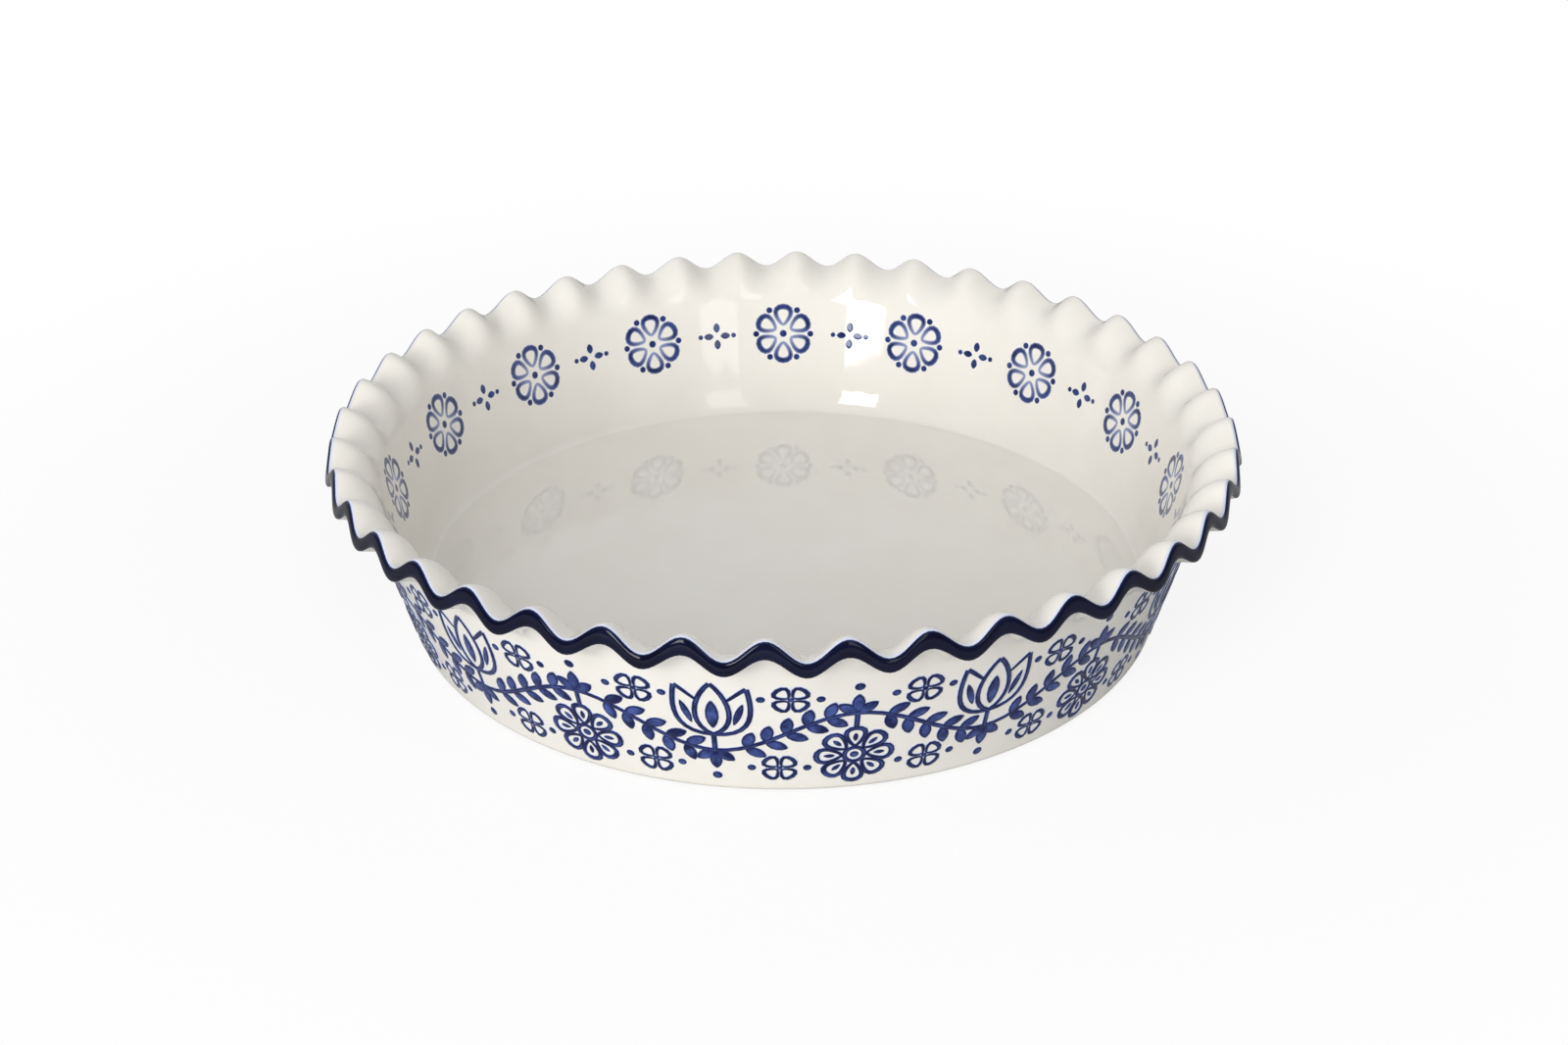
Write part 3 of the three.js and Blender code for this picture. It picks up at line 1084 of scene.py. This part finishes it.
class DISH_OT_rim_glaze(Operator):
    """Lay the cobalt glaze round the edge of the lip"""

    bl_idname = "dish.rim_glaze"
    bl_label = "Rim Glaze"

    def execute(self, context):
        section = current_section()
        points = section.rim_line(RIM_FACETS)
        points.append(points[0])
        rim = turn_section("rim_glaze_band", points, section.sizes.flute_count, FLUTE_FACETS)
        store_edge_distance(rim, section)
        press_flutes(rim, section)
        cobalt = rim_material(context.scene.dish_colours)
        finish_piece(rim, cobalt, nodes=["rim_glaze"])
        return {"FINISHED"}


class DISH_OT_base_glaze(Operator):
    """Fill the recess under the floor with its white coat"""

    bl_idname = "dish.base_glaze"
    bl_label = "Base Glaze"

    def execute(self, context):
        section = current_section()
        sizes = section.sizes
        edge = section.recess_edge()
        top = edge.y + sizes.coat
        points = [Vector((0.0, top)), Vector((edge.x, top)), edge, Vector((0.0, edge.y))]
        base = turn_section("base_glaze_disc", points, sizes.flute_count, PLAIN_FACETS)
        white = white_glaze_material(context.scene.dish_colours, with_bleed=False)
        finish_piece(base, white, nodes=["base_glaze"])
        return {"FINISHED"}


class DISH_OT_outer_vine(Operator):
    """Paint the flowering vine round the outer wall"""

    bl_idname = "dish.outer_vine"
    bl_label = "Outer Vine"

    def execute(self, context):
        section = current_section()
        sizes = context.scene.dish_vine
        slope_radius = section.sizes.foot_radius + sizes.middle * math.sin(section.sizes.wall_lean)
        round_length = FULL_TURN * slope_radius
        period = round_length / sizes.repeats
        drawing = draw_vine_repeat(sizes, period)
        paint = paint_material(context.scene.dish_colours)
        stem_places = between(0.0, round_length, STEM_STEPS * sizes.repeats)
        stem_line = [vine_point(sizes, period, across) for across in stem_places]
        stem_widths = [sizes.stem] * len(stem_line)
        stem = make_lines([(stem_line, stem_widths, False)], sizes.stem, sizes.relief)
        flowers = make_lines(drawing.lines, sizes.stem, sizes.relief)
        leaves = make_leaves(drawing, sizes.relief, PAINT_SUNK * sizes.relief)
        pieces = {
            "vine_stem": (stem, 1),
            "vine_flowers": (flowers, sizes.repeats),
            "vine_leaves": (leaves, sizes.repeats),
        }
        for name, (piece, copies) in pieces.items():
            prepare_paint(piece, name, sizes.relief, period, copies)
            wrap_outside(piece, section, round_length)
            finish_piece(piece, paint, PAINT_SMOOTH_ANGLE)
        return {"FINISHED"}


class DISH_OT_inner_ring(Operator):
    """Paint the ring of rosettes on the inner wall"""

    bl_idname = "dish.inner_ring"
    bl_label = "Inner Ring"

    def execute(self, context):
        section = current_section()
        sizes = context.scene.dish_ring
        round_length = FULL_TURN * section.inner_wall(sizes.middle).x
        period = round_length / sizes.repeats
        drawing = draw_ring_repeat(sizes, period)
        paint = underglaze_material(context.scene.dish_colours)
        lines = make_lines(drawing.lines, sizes.line, sizes.relief)
        leaves = make_leaves(drawing, sizes.relief, sizes.relief)
        for name, piece in {"ring_rosettes": lines, "ring_sprigs": leaves}.items():
            prepare_paint(piece, name, sizes.relief, period, sizes.repeats)
            wrap_inside(piece, section, round_length, sizes.middle)
            finish_piece(piece, paint, PAINT_SMOOTH_ANGLE)
        return {"FINISHED"}


# Stage: the camera is fitted to the photograph and stands in the dish's own frame
CAMERA_PLACE = (0.0, -0.6402, 0.3593)
CAMERA_PITCH = math.radians(27.765)
CAMERA_ROLL = math.radians(-0.228)
CAMERA_LENS = 54.27
SENSOR_WIDTH = 36.0
CAMERA_NEAR = 0.01
EVEN_LIGHT = 0.41
ROOM_LIGHT = 0.2
BACKDROP_LIGHT = 1.0
SEEN_LIGHT = 1.0
BACKDROP_DIRECTION = (0.0, 0.8, 0.6)
BACKDROP_FADE = (0.1, 0.8)
FLOOR_SIZE = 12.0
FLOOR_GAP = 0.1 * MM
LAMP_TARGET = (0.0, 0.0, 0.03)

# Lamps: azimuth and elevation in degrees, distance, width and height in metres, power in watts,
# and whether reflections show them
LAMPS = {
    "key_strip": (-25.5, 19.8, 1.6, 0.33, 0.6, 5.6, True),
    "key_fill": (-25.5, 37.0, 1.6, 0.33, 0.4, 3.7, False),
    "faint_strip": (20.0, 26.0, 1.6, 0.33, 1.0, 2.0, True),
    "left_fill": (-38.0, 14.0, 1.9, 1.0, 0.6, 8.5, False),
    "front_fill": (2.0, 8.0, 1.9, 0.8, 0.3, 2.7, False),
    "top_fill": (28.0, 58.0, 2.0, 1.2, 0.8, 5.0, False),
}


def aim_at(place, target):
    """The turn that points a lamp from its place towards a target."""
    return (Vector(target) - Vector(place)).to_track_quat("-Z", "Y").to_euler()


def place_lamp(name, azimuth, elevation, distance, width, height, power, mirrored):
    """A soft rectangular lamp. Azimuth 0 is the camera's side, and grows to the right."""
    side = math.radians(azimuth)
    rise = math.radians(elevation)
    flat = distance * math.cos(rise)
    place = (flat * math.sin(side), -flat * math.cos(side), distance * math.sin(rise))
    deselect_all()
    bpy.ops.object.light_add(type="AREA", location=place, rotation=aim_at(place, LAMP_TARGET))
    lamp = bpy.context.object
    lamp.name = name
    lamp.data.shape = "RECTANGLE"
    lamp.data.size = width
    lamp.data.size_y = height
    lamp.data.energy = power
    lamp.visible_glossy = mirrored


def build_world():
    """Even pale light all round. Reflections see a pale backdrop behind the dish and a dim room before it."""
    world = bpy.data.worlds.new("Pale Studio")
    tree = empty_tree(world)
    rays = node(tree, "ShaderNodeLightPath")
    direction = node(tree, "ShaderNodeTexCoord").outputs["Generated"]
    facing = node(tree, "ShaderNodeVectorMath", operation="DOT_PRODUCT")
    tree.links.new(direction, facing.inputs[0])
    facing.inputs[1].default_value = BACKDROP_DIRECTION
    light_range = (ROOM_LIGHT, BACKDROP_LIGHT)
    mirrored = map_range(tree, facing.outputs["Value"], BACKDROP_FADE, light_range, smooth=True)
    strength = EVEN_LIGHT
    for ray, value in (("Is Glossy Ray", mirrored), ("Is Camera Ray", SEEN_LIGHT)):
        mix = node(tree, "ShaderNodeMix", data_type="FLOAT")
        tree.links.new(rays.outputs[ray], mix.inputs["Factor"])
        feed(tree, mix.inputs["A"], strength)
        feed(tree, mix.inputs["B"], value)
        strength = mix.outputs["Result"]
    light = node(tree, "ShaderNodeBackground")
    light.inputs["Color"].default_value = (1, 1, 1, 1)
    tree.links.new(strength, light.inputs["Strength"])
    output = node(tree, "ShaderNodeOutputWorld")
    tree.links.new(light.outputs["Background"], output.inputs["Surface"])
    bpy.context.scene.world = world


class DISH_OT_stage(Operator):
    """Set the floor, the lamps, the world and the camera"""

    bl_idname = "dish.stage"
    bl_label = "Stage"

    def execute(self, context):
        deselect_all()
        bpy.ops.mesh.primitive_plane_add(size=FLOOR_SIZE, location=(0, 0, -FLOOR_GAP))
        floor = context.object
        floor.name = "studio_floor"
        floor.data.materials.append(floor_material())
        for name, settings in LAMPS.items():
            place_lamp(name, *settings)
        build_world()
        deselect_all()
        tilt = Matrix.Rotation(math.pi / 2 - CAMERA_PITCH, 3, "X")
        turn = tilt @ Matrix.Rotation(CAMERA_ROLL, 3, "Z")
        bpy.ops.object.camera_add(location=CAMERA_PLACE, rotation=turn.to_euler())
        camera = context.object
        camera.data.lens = CAMERA_LENS
        camera.data.sensor_width = SENSOR_WIDTH
        camera.data.clip_start = CAMERA_NEAR
        context.scene.camera = camera
        context.scene.view_settings.view_transform = "Standard"
        return {"FINISHED"}


class DISH_PT_panel(Panel):
    """The dish's sizes, colours and making steps"""

    bl_idname = "DISH_PT_panel"
    bl_label = "Baking Dish"
    bl_space_type = "VIEW_3D"
    bl_region_type = "UI"
    bl_category = "Baking Dish"

    def draw(self, context):
        layout = self.layout
        for group_name in PROPERTY_GROUPS:
            group = getattr(context.scene, group_name)
            box = layout.box()
            for name in group.__annotations__:
                box.prop(group, name)
        for step in MAKING_STEPS:
            layout.operator(step.bl_idname)


MAKING_STEPS = (
    DISH_OT_stoneware_body,
    DISH_OT_inner_glaze,
    DISH_OT_outer_glaze,
    DISH_OT_rim_glaze,
    DISH_OT_base_glaze,
    DISH_OT_outer_vine,
    DISH_OT_inner_ring,
    DISH_OT_stage,
)
PROPERTY_GROUPS = {
    "dish_sizes": DishSizes,
    "dish_vine": VineSizes,
    "dish_ring": RingSizes,
    "dish_colours": DishColours,
}


def register():
    for name, group in PROPERTY_GROUPS.items():
        bpy.utils.register_class(group)
        setattr(bpy.types.Scene, name, PointerProperty(type=group))
    for item in (*MAKING_STEPS, DISH_PT_panel):
        bpy.utils.register_class(item)


def unregister():
    for item in (DISH_PT_panel, *reversed(MAKING_STEPS)):
        bpy.utils.unregister_class(item)
    for name, group in PROPERTY_GROUPS.items():
        delattr(bpy.types.Scene, name)
        bpy.utils.unregister_class(group)


def main():
    register()
    bpy.ops.dish.stoneware_body()
    bpy.ops.dish.inner_glaze()
    bpy.ops.dish.outer_glaze()
    bpy.ops.dish.rim_glaze()
    bpy.ops.dish.base_glaze()
    bpy.ops.dish.outer_vine()
    bpy.ops.dish.inner_ring()
    bpy.ops.dish.stage()


if __name__ == "__main__":
    main()
